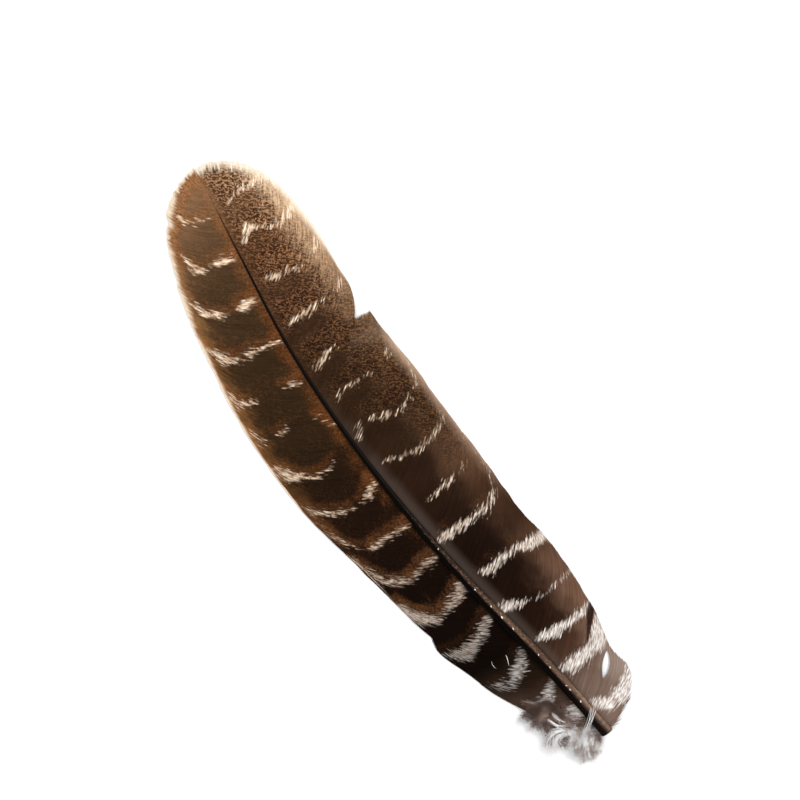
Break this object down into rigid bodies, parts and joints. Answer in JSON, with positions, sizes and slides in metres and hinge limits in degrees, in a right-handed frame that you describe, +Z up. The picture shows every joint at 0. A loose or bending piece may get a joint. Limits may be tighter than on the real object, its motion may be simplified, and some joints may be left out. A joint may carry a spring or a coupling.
{
  "type": "turkey wing feather",
  "caption": "Barred brown turkey wing feather with a bowed dark quill, two barbed vanes and a tuft of down at its base, lying on its underside.",
  "frame": {"origin": "centre of the bounding box's bottom face, on the surface that the feather lies on", "axes": "+Y from the cut quill to the tip, +X towards the wider inner vane, +Z up from the surface, with the feather's upper side up"},
  "size_m": [0.073, 0.286, 0.0117],
  "materials": {
    "shaft_horn": "glossy dark brown horn, paler at the cut end",
    "inner_vane_barbs": "matt brown barbs with pale bars and fine mottling",
    "outer_vane_barbs": "matt dark olive brown barbs with pale bars and a rusty edge",
    "down": "soft grey-white down"
  },
  "bodies": {
    "root": {"shaft": "shaft_horn", "inner_vane": "inner_vane_barbs", "outer_vane": "outer_vane_barbs", "down_tuft": "down"}
  },
  "joints": []
}
